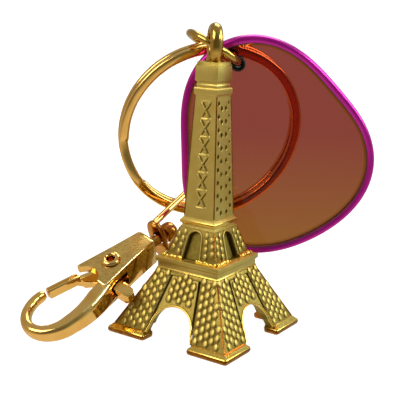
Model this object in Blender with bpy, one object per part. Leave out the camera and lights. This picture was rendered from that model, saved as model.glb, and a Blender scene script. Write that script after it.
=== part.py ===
"""Keychain: a tower charm on a jump ring, which also carries a split ring with a snap hook and a tinted lens.

The tower stands on its four feet and its axis is the frame of every place below: +X right, +Y away, +Z up.
Lengths are in millimetres, and each point is scaled to metres as it is made.
"""

from math import cos, pi, radians, sin

import bmesh
import bpy
from mathutils import Matrix, Vector

MM = 0.001
SEAM = 0.3            # clearance between pieces that rest on or pass through each other
UP = Vector((0, 0, 1))

# The tower's axis, from the middle of the whole keychain's footprint.
TOWER_X = 0.94
TOWER_Y = -0.65
TOWER_TURN = radians(-33.8)

# Tower: half widths and heights of its stages.
FOOT_HALF = 11.0
FOOT_TOP = 1.1
LEG_FOOT_HALF = 10.3
LEG_TOP_HALF = 5.45
BASE_TOP = 10.2
WALL = 1.7
SLOT_HALF_LOW = 4.5
SLOT_HALF_HIGH = 2.75
SLOT_TOP = 9.6
ARCH_HALF = 3.7
ARCH_SPRING = 2.4
ARCH_TOP = 5.5
LOWER_DECK_TOP = 12.1
MIDDLE_TOP = 16.7
UPPER_DECK_TOP = 18.3
SHAFT_TOP = 38.1
CAP_TOP = 41.9

# Eye on the cap: an upright oval loop whose hole runs along the tower's left-right diagonal.
EYE_CENTRE = 44.5
EYE_HOLE_HALF_HEIGHT = 1.45
EYE_HOLE_HALF_DEPTH = 1.05
EYE_WALL = 0.82
EYE_HALF_THICKNESS = 0.95
EYE_AXIS = Vector((cos(radians(8)), sin(radians(8)), 0))

# Jump ring: round wire, its near side through the eye and its far side a little lower.
JUMP_WIRE = 1.2
JUMP_RADIUS = 4.32
JUMP_CENTRE = Vector((-0.05, 4.15, 43.65))
JUMP_RIGHT = Vector((0.867, 0, -0.498)).normalized()
JUMP_SLOPE = radians(6.6)

# Split ring: two flat coils of one strip.
SPLIT_OUTER = 15.0
SPLIT_INNER = 13.45
COIL_THICKNESS = 1.15
COIL_GAP = 0.12
SPLIT_CENTRE = Vector((-0.18, 10.15, 29.9))
SPLIT_PAN = radians(-15)
SPLIT_TILT = radians(15)
SPLIT_END_ANGLE = radians(183)
SPLIT_STEP = radians(34)

# Snap hook: its own axes are a (towards the hook), b (across) and c (out of its flat face).
SNAP_START = Vector((-9.29, 5.0, 11.8))
SNAP_C = Vector((-0.114, -0.489, 0.865)).normalized()
SNAP_A = Vector((-0.683, -0.593, -0.426))
SNAP_A = (SNAP_A - SNAP_A.dot(SNAP_C) * SNAP_C).normalized()
SNAP_B = SNAP_C.cross(SNAP_A)
BODY_HALF_THICKNESS = 2.5
CHAMFER = 0.45
PIVOT = (7.6, -0.35)
RIVET_RADIUS = 0.8
RIVET_HEAD_RADIUS = 1.4
RIVET_BORE = 0.42
GATE_HALF = 0.95
SLOT_HALF = 1.25
STUD_RADIUS = 0.8
STUD_HEAD_RADIUS = 1.55

# Swivel loop: a flat base on the stud and a wire bow round the split ring.
LOOP_BASE_AT = -1.9
LOOP_RING_ANGLE = radians(262)
LOOP_HALF_WIDTH = 2.9
LOOP_ARM = 9.8
LOOP_WIRE = 1.15
LOOP_TWIST = radians(40)
LOOP_BASE_DEPTH = 1.5
LOOP_BASE_HALF = 0.4

# Lens: a rounded triangle drawn as a circle with a two-fold and a three-fold wave.
LENS_HOLE = Vector((3.68, 4.3, 41.45))
LENS_LEAN = radians(7)
LENS_CENTRE_RIGHT = 5.75
LENS_CENTRE_DOWN = 13.95
LENS_RADIUS = 16.5
LENS_OVAL = 1.4
LENS_OVAL_TURN = radians(17)
LENS_CORNERS = 1.24
LENS_CORNER_TURN = radians(-4.5)
LENS_HALF = 0.55
RIM_WIDTH = 1.3
RIM_HALF = 0.85
EYELET_INNER = 0.95
EYELET_OUTER = 1.1
EYELET_FLANGE = 1.4

FINISHES = {
    # name: colour, metallic, roughness
    "satin_gold": ((0.50, 0.40, 0.12), 1.0, 0.35),
    "polished_gold": ((0.80, 0.50, 0.14), 1.0, 0.12),
    "rim_lacquer": ((0.28, 0.01, 0.17), 0.3, 0.30),
    "tinted_lens": ((0.30, 0.08, 0.04), 0.0, 0.05),
    "black_rubber": ((0.01, 0.01, 0.01), 0.0, 0.60),
    "spring_steel": ((0.60, 0.58, 0.55), 1.0, 0.30),
}


# ---------------------------------------------------------------- building tools

def clear_scene():
    for old in list(bpy.data.objects):
        bpy.data.objects.remove(old, do_unlink=True)


def finish(name):
    """The material of one piece, made from its finish."""
    colour, metallic, roughness = FINISHES[name]
    material = bpy.data.materials.new(name)
    material.use_nodes = True
    shader = material.node_tree.nodes["Principled BSDF"]
    shader.inputs["Base Color"].default_value = (*colour, 1)
    shader.inputs["Metallic"].default_value = metallic
    shader.inputs["Roughness"].default_value = roughness
    return material


def empty(name, parent=None, at=(0, 0, 0), turn=0.0):
    marker = bpy.data.objects.new(name, None)
    marker.location = Vector(at) * MM
    marker.rotation_euler = (0, 0, turn)
    marker.parent = parent
    bpy.context.collection.objects.link(marker)
    return marker


def piece(name, bm, finish_name, parent, origin=(0, 0, 0)):
    """An object from a bmesh drawn in its parent's axes, with its origin at the given point."""
    bmesh.ops.recalc_face_normals(bm, faces=bm.faces)
    mesh = bpy.data.meshes.new(name)
    bm.to_mesh(mesh)
    bm.free()
    mesh.transform(Matrix.Translation(-Vector(origin) * MM))
    mesh.materials.append(finish(finish_name))
    mesh.shade_smooth()
    mesh.set_sharp_from_angle(angle=radians(35))
    made = bpy.data.objects.new(name, mesh)
    made.location = Vector(origin) * MM
    made.parent = parent
    bpy.context.collection.objects.link(made)
    return made


def cutter(name, bm, parent):
    tool = piece(name, bm, "spring_steel", parent)
    tool.hide_render = True
    tool.display_type = "WIRE"
    return tool


def combine(target, tools, operation):
    for tool in tools:
        step = target.modifiers.new(tool.name, "BOOLEAN")
        step.operation = operation
        step.object = tool
        step.solver = "EXACT"


def lofted(bm, sections, closed=False):
    """A solid through a row of matching outlines. A closed one joins its last outline to its first."""
    rows = [[bm.verts.new(Vector(point) * MM) for point in section] for section in sections]
    pairs = list(zip(rows, rows[1:]))
    if closed:
        pairs.append((rows[-1], rows[0]))
    else:
        bm.faces.new(rows[0])
        bm.faces.new(rows[-1])
    for near, far in pairs:
        for n in range(len(near)):
            bm.faces.new((near[n - 1], near[n], far[n], far[n - 1]))


def swept(bm, frames, section, closed=False):
    """A bar along (centre, u axis, v axis) frames. Section gives (u, v) points, or is a function of the step."""
    outlines = []
    for step, (centre, u_axis, v_axis) in enumerate(frames):
        points = section(step / (len(frames) - 1)) if callable(section) else section
        outlines.append([centre + u * u_axis + v * v_axis for u, v in points])
    lofted(bm, outlines, closed)


def circle(radius, count, stretch=1.0):
    angles = [2 * pi * (n + 0.5) / count for n in range(count)]
    return [(radius * cos(angle), radius * stretch * sin(angle)) for angle in angles]


def chamfered(u_low, u_high, v_half, chamfer):
    """A rectangle from u_low to u_high and v_half to each side, with its corners cut."""
    return [
        (u_low + chamfer, -v_half), (u_high - chamfer, -v_half), (u_high, chamfer - v_half),
        (u_high, v_half - chamfer), (u_high - chamfer, v_half), (u_low + chamfer, v_half),
        (u_low, v_half - chamfer), (u_low, chamfer - v_half),
    ]


def rod(bm, start, end, radius, count=16, end_radius=None):
    """A straight round bar."""
    direction = (end - start).normalized()
    u_axis = direction.orthogonal().normalized()
    v_axis = direction.cross(u_axis)
    radii = (radius, radius if end_radius is None else end_radius)
    outlines = []
    for centre, size in zip((start, end), radii):
        outlines.append([centre + u * u_axis + v * v_axis for u, v in circle(size, count)])
    lofted(bm, outlines)


def turned(bm, start, direction, profile, count=20):
    """A closed ring or tube turned about an axis. Profile is a closed outline of (radius, height) points."""
    u_axis = direction.orthogonal().normalized()
    v_axis = direction.cross(u_axis)
    outlines = []
    for n in range(count):
        angle = 2 * pi * n / count
        outward = cos(angle) * u_axis + sin(angle) * v_axis
        outlines.append([start + radius * outward + height * direction for radius, height in profile])
    lofted(bm, outlines, closed=True)


# ---------------------------------------------------------------- tower

def square(half, height):
    return [(half, half, height), (-half, half, height), (-half, -half, height), (half, -half, height)]


def stack(levels):
    bm = bmesh.new()
    lofted(bm, [square(half, height) for half, height in levels])
    return bm


def leg_half(height):
    """Half the width over the legs at a height."""
    return LEG_FOOT_HALF + (LEG_TOP_HALF - LEG_FOOT_HALF) * (height - FOOT_TOP) / (BASE_TOP - FOOT_TOP)


def slot_half(height):
    """Half the width between two legs at a height."""
    return SLOT_HALF_LOW + (SLOT_HALF_HIGH - SLOT_HALF_LOW) * height / SLOT_TOP


def across(bm, outline, reach, turned_side):
    """A bar right through the tower, with an outline of (sideways, height) points."""
    ends = []
    for depth in (-reach, reach):
        ends.append([(depth, s, z) if turned_side else (s, depth, z) for s, z in outline])
    lofted(bm, ends)


def tower_base(parent):
    """Four hollow corner legs on thick feet, joined under the lower deck."""
    legs = piece("tower_base", stack([
        (FOOT_HALF - 0.3, 0), (FOOT_HALF, 0.3), (FOOT_HALF, FOOT_TOP - 0.2), (LEG_FOOT_HALF, FOOT_TOP),
        (LEG_TOP_HALF, BASE_TOP)]), "satin_gold", parent)
    hollow = cutter("base_hollow", stack([
        (FOOT_HALF - WALL, -1), (leg_half(FOOT_TOP) - WALL, FOOT_TOP), (leg_half(9.0) - WALL, 9.0)]), parent)
    gap = [(-slot_half(-1), -1), (slot_half(-1), -1), (slot_half(SLOT_TOP), SLOT_TOP),
           (-slot_half(SLOT_TOP), SLOT_TOP)]
    tools = [hollow]
    for turned_side in (False, True):
        bm = bmesh.new()
        across(bm, gap, FOOT_HALF + 2, turned_side)
        tools.append(cutter(f"leg_gap_{int(turned_side)}", bm, parent))
    combine(legs, tools, "DIFFERENCE")


def arch_panel(name, parent, turn):
    """The plate that closes the gap between two legs above an elliptical arch."""
    side = slot_half(SLOT_TOP) - SEAM
    low = slot_half(ARCH_SPRING) - SEAM
    arch = [radians(angle) for angle in range(180, -1, -15)]
    outline = [(-side, SLOT_TOP - SEAM), (-low, ARCH_SPRING)]
    outline += [(ARCH_HALF * cos(t), ARCH_SPRING + (ARCH_TOP - ARCH_SPRING) * sin(t)) for t in arch]
    outline += [(low, ARCH_SPRING), (side, SLOT_TOP - SEAM)]
    bm = bmesh.new()
    faces = []
    for inset in (0.15, 1.35):
        faces.append([(s, inset - leg_half(z), z) for s, z in outline])
    lofted(bm, faces)
    panel = piece(name, bm, "satin_gold", parent)
    panel.rotation_euler = (0, 0, turn)


def lower_deck(parent):
    bottom = BASE_TOP + SEAM
    piece("lower_deck", stack([
        (5.5, bottom), (5.5, bottom + 0.6), (5.8, bottom + 0.8), (5.8, LOWER_DECK_TOP)]), "satin_gold", parent)


def middle_stage(parent):
    """The second stage, with an arched niche in each side."""
    bottom = LOWER_DECK_TOP + SEAM
    stage = piece("middle_stage", stack([
        (4.8, bottom), (4.8, bottom + 0.4), (4.4, bottom + 0.6), (3.15, MIDDLE_TOP)]), "satin_gold", parent)
    arch = [radians(angle) for angle in range(0, 181, 30)]
    niche = [(-1.9, bottom + 0.6), (1.9, bottom + 0.6)]
    niche += [(1.4 * cos(t), 15.2 + 0.9 * sin(t)) for t in arch]
    tools = []
    for number in range(4):
        bm = bmesh.new()
        lofted(bm, [[(s, -6, z) for s, z in niche], [(s, -2.6, z) for s, z in niche]])
        tool = cutter(f"niche_{number}", bm, parent)
        tool.rotation_euler = (0, 0, number * pi / 2)
        tools.append(tool)
    combine(stage, tools, "DIFFERENCE")


def upper_deck(parent):
    bottom = MIDDLE_TOP + SEAM
    piece("upper_deck", stack([
        (3.0, bottom), (3.0, bottom + 0.45), (3.2, bottom + 0.6), (3.2, UPPER_DECK_TOP)]), "satin_gold", parent)


def tower_shaft(parent):
    piece("tower_shaft", stack([
        (2.75, UPPER_DECK_TOP + SEAM), (1.95, 37.0), (2.08, 37.15), (2.08, SHAFT_TOP)]), "satin_gold", parent)


def eye_frames(half_height, half_depth):
    """Frames round an oval that stands on edge, square to the eye's hole."""
    along = UP.cross(EYE_AXIS)
    frames = []
    for n in range(24):
        angle = 2 * pi * n / 24
        centre = Vector((0, 0, EYE_CENTRE)) + half_depth * cos(angle) * along + half_height * sin(angle) * UP
        outward = (half_height * cos(angle) * along + half_depth * sin(angle) * UP).normalized()
        frames.append((centre, outward, EYE_AXIS))
    return frames


def tower_cap(parent, keychain):
    """The cap block with its cast eye."""
    cap = piece("tower_cap", stack([
        (1.85, SHAFT_TOP + SEAM), (1.85, 39.0), (2.04, 39.15), (1.88, CAP_TOP)]), "satin_gold", parent)
    bm = bmesh.new()
    wall = EYE_WALL
    oval = eye_frames(EYE_HOLE_HALF_HEIGHT + wall, EYE_HOLE_HALF_DEPTH + wall)
    swept(bm, oval, circle(wall, 10, EYE_HALF_THICKNESS / wall), closed=True)
    loop = cutter("cap_eye", bm, keychain)
    bm = bmesh.new()
    rod(bm, Vector((0, 0, CAP_TOP - 1)), Vector((0, 0, EYE_CENTRE - EYE_HOLE_HALF_HEIGHT - 0.6)), 1.25)
    post = cutter("cap_post", bm, keychain)
    combine(cap, [loop, post], "UNION")


# ---------------------------------------------------------------- rings

def jump_axes():
    """The jump ring's right, away and normal directions."""
    flat_normal = JUMP_RIGHT.cross(Vector((0, 1, 0)))
    away = Vector((0, cos(JUMP_SLOPE), 0)) - sin(JUMP_SLOPE) * flat_normal
    return JUMP_RIGHT, away.normalized(), JUMP_RIGHT.cross(away).normalized()


def jump_ring_hinge():
    """The middle of the near strand, where it lies in the eye."""
    return JUMP_CENTRE - JUMP_RADIUS * jump_axes()[1]


def jump_ring(parent):
    right, away, normal = jump_axes()
    bm = bmesh.new()
    frames = []
    for n in range(36):
        angle = radians(112) + radians(357) * n / 35
        outward = cos(angle) * right + sin(angle) * away
        frames.append((JUMP_CENTRE + JUMP_RADIUS * outward, outward, normal))
    swept(bm, frames, circle(JUMP_WIRE / 2, 10))
    piece("jump_ring", bm, "polished_gold", parent, jump_ring_hinge())


def split_axes():
    """The split ring's right, up and normal directions."""
    normal = Vector((sin(SPLIT_PAN) * cos(SPLIT_TILT), cos(SPLIT_PAN) * cos(SPLIT_TILT), sin(SPLIT_TILT)))
    right = normal.cross(UP).normalized()
    return right, right.cross(normal), normal


def split_point(angle, radius=(SPLIT_OUTER + SPLIT_INNER) / 2):
    right, up, normal = split_axes()
    return SPLIT_CENTRE + radius * (cos(angle) * right + sin(angle) * up)


def split_ring_hinge():
    """The top of the coils, inside the jump ring."""
    return split_point(radians(88))


def split_ring(parent):
    """One strip wound twice. It steps from the front layer to the back one between its two ends."""
    right, up, normal = split_axes()
    turn = 2 * pi
    layer = (COIL_THICKNESS + COIL_GAP) / 2
    length = 2 * turn - SPLIT_STEP - 2 * radians(1.5)
    frames = []
    steps = 100
    for n in range(steps + 1):
        wound = length * n / steps
        shift = min(max((wound - (turn - SPLIT_STEP)) / SPLIT_STEP, 0), 1)
        height = layer * (1 - 2 * (3 * shift ** 2 - 2 * shift ** 3))
        angle = SPLIT_END_ANGLE + radians(1.5) - wound
        outward = cos(angle) * right + sin(angle) * up
        centre = SPLIT_CENTRE + (SPLIT_OUTER + SPLIT_INNER) / 2 * outward - height * normal
        frames.append((centre, outward, normal))
    half = (SPLIT_OUTER - SPLIT_INNER) / 2
    bm = bmesh.new()
    swept(bm, frames, chamfered(-half, half, COIL_THICKNESS / 2, 0.3))
    piece("split_ring", bm, "polished_gold", parent, split_ring_hinge())


# ---------------------------------------------------------------- snap hook

def snap(a, b, c=0.0):
    """A point in the snap hook's own axes."""
    return SNAP_START + a * SNAP_A + b * SNAP_B + c * SNAP_C


def loop_axes():
    """The swivel loop's length, width and normal directions, and the middle of its base."""
    centre = snap(LOOP_BASE_AT, 0)
    length = (split_point(LOOP_RING_ANGLE) - centre).normalized()
    right, up, normal = split_axes()
    tangent = sin(LOOP_RING_ANGLE) * right - cos(LOOP_RING_ANGLE) * up
    square_to = (tangent - tangent.dot(length) * length).normalized()
    width = length.cross(square_to)
    width = cos(LOOP_TWIST) * width + sin(LOOP_TWIST) * square_to
    return length, width, length.cross(width), centre


def swivel_loop(parent):
    length, width, normal, centre = loop_axes()
    arc = [radians(angle) for angle in range(0, 181, 15)]
    route = [(-0.1, LOOP_HALF_WIDTH)]
    route += [(LOOP_ARM + LOOP_HALF_WIDTH * sin(t), LOOP_HALF_WIDTH * cos(t)) for t in arc]
    route += [(-0.1, -LOOP_HALF_WIDTH)]
    frames = []
    for n, (along, aside) in enumerate(route):
        turn = min(max(n - 1, 0) * radians(15), pi)
        outward = sin(turn) * length + cos(turn) * width
        frames.append((centre + along * length + aside * width, outward, normal))
    bm = bmesh.new()
    swept(bm, frames, circle(LOOP_WIRE / 2, 10))
    bow = piece("swivel_loop", bm, "polished_gold", parent, split_point(LOOP_RING_ANGLE))
    bm = bmesh.new()
    outline = chamfered(-LOOP_HALF_WIDTH - 0.5, LOOP_HALF_WIDTH + 0.5, LOOP_BASE_DEPTH, 0.9)
    lofted(bm, [[centre + u * width + v * normal + h * length for u, v in outline]
                for h in (-LOOP_BASE_HALF, LOOP_BASE_HALF)])
    combine(bow, [cutter("loop_base", bm, parent)], "UNION")
    bm = bmesh.new()
    rod(bm, centre - 2 * length, centre + 2 * length, STUD_RADIUS + SEAM)
    combine(bow, [cutter("loop_bore", bm, parent)], "DIFFERENCE")


def swivel_stud(parent):
    """A domed stud that turns in the washer and is set in the hook's body."""
    profile = [
        (STUD_RADIUS, 2.0), (STUD_RADIUS, -3.1), (STUD_HEAD_RADIUS, -3.15), (STUD_HEAD_RADIUS, -4.7),
        (1.2, -5.3), (0.6, -5.5)]
    bm = bmesh.new()
    sections = []
    for radius, a in profile:
        sections.append([snap(a, u, v) for u, v in circle(radius, 20)])
    lofted(bm, sections)
    piece("swivel_stud", bm, "polished_gold", parent, snap(0, 0))


def hook_route():
    """The hook's centre line from inside the body round to its tip, as (a, b) points."""
    start, pull, end = Vector((9.6, 1.1)), Vector((14.9, 3.6)), Vector((18.9, 3.0))
    route = []
    for n in range(7):
        t = n / 6
        route.append((1 - t) ** 2 * start + 2 * t * (1 - t) * pull + t ** 2 * end)
    for n in range(13):
        t = radians(80 - 14.75 * n)
        route.append(Vector((18.9 + 4.7 * cos(t), -0.95 + 3.95 * sin(t))))
    return route


def hook_section(along):
    """The hook thins from the body to its tip."""
    left = (1 - along) ** 2.5
    half_width = 0.8 + 0.85 * left
    half_thickness = 1.0 + 1.4 * left
    return [(half_width * u, half_thickness * v) for u, v in circle(1, 12)]


def snap_body(parent):
    """Two cheeks either side of the gate's slot, with the hook carried on from the right-hand wall."""
    sections = []
    for a, left, right, half in ((0, -1.5, 1.5, 2.1), (0.5, -1.8, 1.8, 2.5), (5, -2.5, 2.2, 2.5),
                                 (11.9, -3.75, 3.1, 2.5)):
        outline = chamfered(left, right, half, CHAMFER)
        sections.append([snap(a, b, c) for b, c in outline])
    bm = bmesh.new()
    lofted(bm, sections)
    body = piece("snap_body", bm, "polished_gold", parent, snap(0, 0))
    route = hook_route()
    frames = []
    for n, point in enumerate(route):
        before = route[max(n - 1, 0)]
        after = route[min(n + 1, len(route) - 1)]
        heading = (after - before).normalized()
        outward = heading.y * SNAP_A - heading.x * SNAP_B
        frames.append((snap(point.x, point.y), outward, SNAP_C))
    bm = bmesh.new()
    swept(bm, frames, hook_section)
    combine(body, [cutter("snap_hook", bm, parent)], "UNION")
    tools = []
    bm = bmesh.new()
    lofted(bm, [[snap(a, b, c) for a, b in ((4.9, -6), (14.5, -6), (14.5, 1.35), (4.9, 1.35))]
                for c in (-SLOT_HALF, SLOT_HALF)])
    tools.append(cutter("gate_slot", bm, parent))
    bm = bmesh.new()
    lofted(bm, [[snap(a, b, c) for a, b in ((6.9, 0), (12.3, 0), (12.3, 5), (6.9, 5))]
                for c in (-SLOT_HALF, SLOT_HALF)])
    tools.append(cutter("thumb_window", bm, parent))
    bm = bmesh.new()
    rod(bm, snap(12.9, -0.8, -4), snap(12.9, -0.8, 4), 2.4, 20)
    tools.append(cutter("end_recess", bm, parent))
    bm = bmesh.new()
    rod(bm, snap(*PIVOT, -4), snap(*PIVOT, 4), RIVET_RADIUS + SEAM)
    tools.append(cutter("rivet_bore", bm, parent))
    bm = bmesh.new()
    rod(bm, snap(-1, 0), snap(2.3, 0), STUD_RADIUS + SEAM)
    tools.append(cutter("stud_bore", bm, parent))
    combine(body, tools, "DIFFERENCE")


def hollow_rivet(parent):
    """A tube rivet, rolled over on both faces."""
    face = BODY_HALF_THICKNESS + SEAM / 2
    top = face + 0.35
    profile = [
        (RIVET_BORE, -top), (RIVET_HEAD_RADIUS, -top), (RIVET_HEAD_RADIUS, -face), (RIVET_RADIUS, -face),
        (RIVET_RADIUS, face), (RIVET_HEAD_RADIUS, face), (RIVET_HEAD_RADIUS, top), (RIVET_BORE, top)]
    bm = bmesh.new()
    turned(bm, snap(*PIVOT), SNAP_C, profile, 20)
    piece("hollow_rivet", bm, "polished_gold", parent, snap(*PIVOT))


def gate_lever(parent):
    """The lever on the rivet, its gate bar across the hook's mouth and its thumb nub."""
    outline = [(5.8, -0.35), (6.3, -1.75), (7.7, -2.25), (12.9, -3.95), (12.9, -2.85), (11.4, -0.6),
               (10.4, 0.6), (7.6, 1.0), (6.3, 0.8)]
    bm = bmesh.new()
    lofted(bm, [[snap(a, b, c) for a, b in outline] for c in (-GATE_HALF, 0.1)])
    lever = piece("gate_lever", bm, "polished_gold", parent, snap(*PIVOT))
    bm = bmesh.new()
    bar = [(12.4, -3.95, -2.75), (17.45, -5.1, -3.95)]
    lofted(bm, [[snap(a, b, c) for b, c in chamfered(low, high, 0.9, 0.25)] for a, low, high in bar])
    gate = cutter("gate_bar", bm, parent)
    bm = bmesh.new()
    nub = ((0.2, 0.8, 9.3, 10.7), (2.2, 0.95, 8.5, 10.7), (6.0, 0.95, 8.4, 10.5), (6.7, 0.7, 8.7, 10.2))
    lofted(bm, [[snap(a, b, c) for a, c in ((low, -half), (high, -half), (high, half), (low, half))]
                for b, half, low, high in nub])
    thumb = cutter("thumb_nub", bm, parent)
    combine(lever, [gate, thumb], "UNION")
    bm = bmesh.new()
    rod(bm, snap(*PIVOT, -4), snap(*PIVOT, 4), RIVET_RADIUS + SEAM)
    combine(lever, [cutter("gate_bore", bm, parent)], "DIFFERENCE")


def gate_spring(parent):
    """A small coil spring round the rivet, beside the lever."""
    wire = 0.14
    coil_radius = RIVET_RADIUS + 0.32 + wire
    frames = []
    for n in range(31):
        angle = 4 * pi * n / 30
        centre = snap(*PIVOT, 0.42 + 0.55 * n / 30)
        outward = cos(angle) * SNAP_A + sin(angle) * SNAP_B
        frames.append((centre + coil_radius * outward, outward, SNAP_C))
    bm = bmesh.new()
    swept(bm, frames, circle(wire, 6))
    piece("gate_spring", bm, "spring_steel", parent, snap(*PIVOT))


# ---------------------------------------------------------------- lens

def lens_axes():
    """The lens's right, up and back-facing normal directions."""
    right = Vector((1, 0, 0))
    up = Vector((0, -sin(LENS_LEAN), cos(LENS_LEAN)))
    return right, up, up.cross(right)


def lens_outline(inset, count=60):
    """Offsets (right, up) from the hole to the lens's edge, moved in by an inset."""
    outline = []
    for n in range(count):
        angle = 2 * pi * n / count
        radius = LENS_RADIUS - inset - LENS_OVAL * cos(2 * (angle - LENS_OVAL_TURN))
        radius += LENS_CORNERS * cos(3 * (angle - LENS_CORNER_TURN))
        outline.append((LENS_CENTRE_RIGHT + radius * cos(angle), radius * sin(angle) - LENS_CENTRE_DOWN))
    return outline


def lens_layer(inset, depth):
    right, up, back = lens_axes()
    return [LENS_HOLE + x * right + y * up + depth * back for x, y in lens_outline(inset)]


def tinted_lens(parent):
    inset = RIM_WIDTH + 0.2
    bm = bmesh.new()
    lofted(bm, [lens_layer(inset, -LENS_HALF), lens_layer(inset, LENS_HALF)])
    lens = piece("tinted_lens", bm, "tinted_lens", parent, LENS_HOLE)
    back = lens_axes()[2]
    bm = bmesh.new()
    rod(bm, LENS_HOLE - 3 * back, LENS_HOLE + 3 * back, EYELET_OUTER + 0.2)
    combine(lens, [cutter("lens_hole", bm, parent)], "DIFFERENCE")


def lens_rim(parent):
    bm = bmesh.new()
    layers = [(0.35, -RIM_HALF), (0, -0.6), (0, 0.6), (0.35, RIM_HALF), (RIM_WIDTH, RIM_HALF),
              (RIM_WIDTH, -RIM_HALF)]
    lofted(bm, [lens_layer(inset, depth) for inset, depth in layers], closed=True)
    piece("lens_rim", bm, "rim_lacquer", parent, LENS_HOLE)


def lens_eyelet(parent):
    face = LENS_HALF + 0.1
    top = face + 0.25
    profile = [
        (EYELET_INNER, -top), (EYELET_FLANGE, -top), (EYELET_FLANGE, -face), (EYELET_OUTER, -face),
        (EYELET_OUTER, face), (EYELET_FLANGE, face), (EYELET_FLANGE, top), (EYELET_INNER, top)]
    bm = bmesh.new()
    turned(bm, LENS_HOLE, lens_axes()[2], profile, 20)
    piece("lens_eyelet", bm, "black_rubber", parent, LENS_HOLE)


def build():
    clear_scene()
    keychain = empty("keychain", at=(TOWER_X, TOWER_Y, 0))
    tower = empty("tower_axis", keychain, turn=TOWER_TURN)
    tower_base(tower)
    for number, side in enumerate(("front", "right", "back", "left")):
        arch_panel(f"arch_panel_{side}", tower, number * pi / 2)
    lower_deck(tower)
    middle_stage(tower)
    upper_deck(tower)
    tower_shaft(tower)
    tower_cap(tower, keychain)
    jump_ring(keychain)
    split_ring(keychain)
    swivel_loop(keychain)
    swivel_stud(keychain)
    snap_body(keychain)
    hollow_rivet(keychain)
    gate_lever(keychain)
    gate_spring(keychain)
    tinted_lens(keychain)
    lens_rim(keychain)
    lens_eyelet(keychain)


build()
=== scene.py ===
"""Looks of the keychain: a plated tower charm, its rings, a snap hook and a tinted lens."""
from math import cos, exp, pi, radians, sin

import bmesh
import bpy
from mathutils import Matrix, Vector, noise


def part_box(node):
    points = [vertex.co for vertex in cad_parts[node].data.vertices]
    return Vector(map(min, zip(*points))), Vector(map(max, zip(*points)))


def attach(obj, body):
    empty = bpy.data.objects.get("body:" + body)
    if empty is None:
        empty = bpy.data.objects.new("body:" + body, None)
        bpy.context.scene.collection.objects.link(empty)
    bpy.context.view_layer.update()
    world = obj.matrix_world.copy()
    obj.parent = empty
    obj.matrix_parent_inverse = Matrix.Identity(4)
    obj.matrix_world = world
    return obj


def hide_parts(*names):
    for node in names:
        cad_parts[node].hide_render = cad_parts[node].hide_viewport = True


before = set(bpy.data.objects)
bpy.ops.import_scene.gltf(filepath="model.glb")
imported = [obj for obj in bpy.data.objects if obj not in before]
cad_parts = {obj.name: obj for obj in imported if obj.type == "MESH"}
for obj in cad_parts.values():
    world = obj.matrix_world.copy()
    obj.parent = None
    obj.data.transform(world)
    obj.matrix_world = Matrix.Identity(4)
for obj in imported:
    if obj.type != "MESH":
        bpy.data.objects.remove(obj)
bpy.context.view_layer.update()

MM = 0.001
UP = Vector((0, 0, 1))

# The tower stands on its axis, and every length below is in millimetres from the foot of that axis.
SHAFT_LOW, SHAFT_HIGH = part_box("tower_shaft")
AXIS = (SHAFT_LOW + SHAFT_HIGH) / 2 / MM
CHARM = Matrix.Translation((AXIS.x, AXIS.y, 0))
TOWER = CHARM @ Matrix.Rotation(radians(-33.8), 4, "Z")

# Tower.
LEG_FOOT_HALF = 10.3
LEG_TOP_HALF = 5.45
BASE_TOP = 10.2
FOOT_TOP = 1.1
WALL = 1.7
SLIT_HALF_LOW = 4.5
SLIT_HALF_HIGH = 2.75
SLIT_TOP = 9.6
SEAM = 0.4
ARCH_HALF = 3.6
ARCH_SPRING = 2.4
ARCH_TOP = 5.5
DECK_TOP = 12.1
STAGE_FOOT = 13.0
STAGE_FOOT_HALF = 4.4
STAGE_TOP = 16.7
STAGE_TOP_HALF = 3.15
UPPER_DECK_TOP = 18.3
SHAFT_FOOT_HALF = 2.75
SHAFT_HEAD_HALF = 1.95
COLLAR = 37.0
COLLAR_LIP = 37.15
COLLAR_STEP = 0.13
SHAFT_TOP = 38.1
BRACE_FOOT = 20.0
BRACE_PITCH = 2.7
BRACE_LEAN = 0.66
PIT_PITCH = 1.98
CAP_TOP = 41.9
EYE_CENTRE = 44.5
EYE_HOLE_HEIGHT = 1.45
EYE_HOLE_DEPTH = 1.05
EYE_WALL = 0.82
EYE_HALF_THICKNESS = 0.95
EYE_AXIS = Vector((cos(radians(8)), sin(radians(8)), 0))
SCALE_PITCH = 0.92
SCALE_ROW = 1.12

# Rings.
JUMP_WIRE = 1.2
JUMP_RADIUS = 4.32
JUMP_CENTRE = Vector((-0.05, 4.15, 43.65))
JUMP_RIGHT = Vector((0.867, 0, -0.498)).normalized()
JUMP_SLOPE = radians(6.6)
SPLIT_OUTER = 15.0
SPLIT_INNER = 13.45
COIL_THICKNESS = 1.15
COIL_GAP = 0.12
SPLIT_CENTRE = Vector((-0.18, 10.15, 29.9))
SPLIT_PAN = radians(-15)
SPLIT_TILT = radians(15)
SPLIT_END_ANGLE = radians(183)
SPLIT_STEP = radians(34)
SPLIT_MIDDLE = (SPLIT_OUTER + SPLIT_INNER) / 2
SPLIT_END_GAP = radians(1.5)

# Snap hook, in its own axes: a towards the hook, b across and c out of its flat face.
SNAP_START = Vector((-9.29, 5.0, 11.8))
SNAP_C = Vector((-0.114, -0.489, 0.865)).normalized()
SNAP_A = Vector((-0.683, -0.593, -0.426))
SNAP_A = (SNAP_A - SNAP_A.dot(SNAP_C) * SNAP_C).normalized()
SNAP_B = SNAP_C.cross(SNAP_A)
PIVOT = (7.6, -0.35)
HOOK_BOW = (18.9, -0.95)
RIVET_RADIUS = 1.08
RIVET_ROLL = 0.46
RIVET_HALF = 2.64
SPRING_RADIUS = 1.26
SPRING_WIRE_RADIUS = 0.14
SLOT_HALF = 1.25
BORE = 1.1
LOOP_BASE_AT = -1.9
LOOP_RING_ANGLE = radians(262)
LOOP_HALF_WIDTH = 2.9
LOOP_ARM = 9.8
LOOP_WIRE = 1.15
LOOP_TWIST = radians(40)

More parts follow.
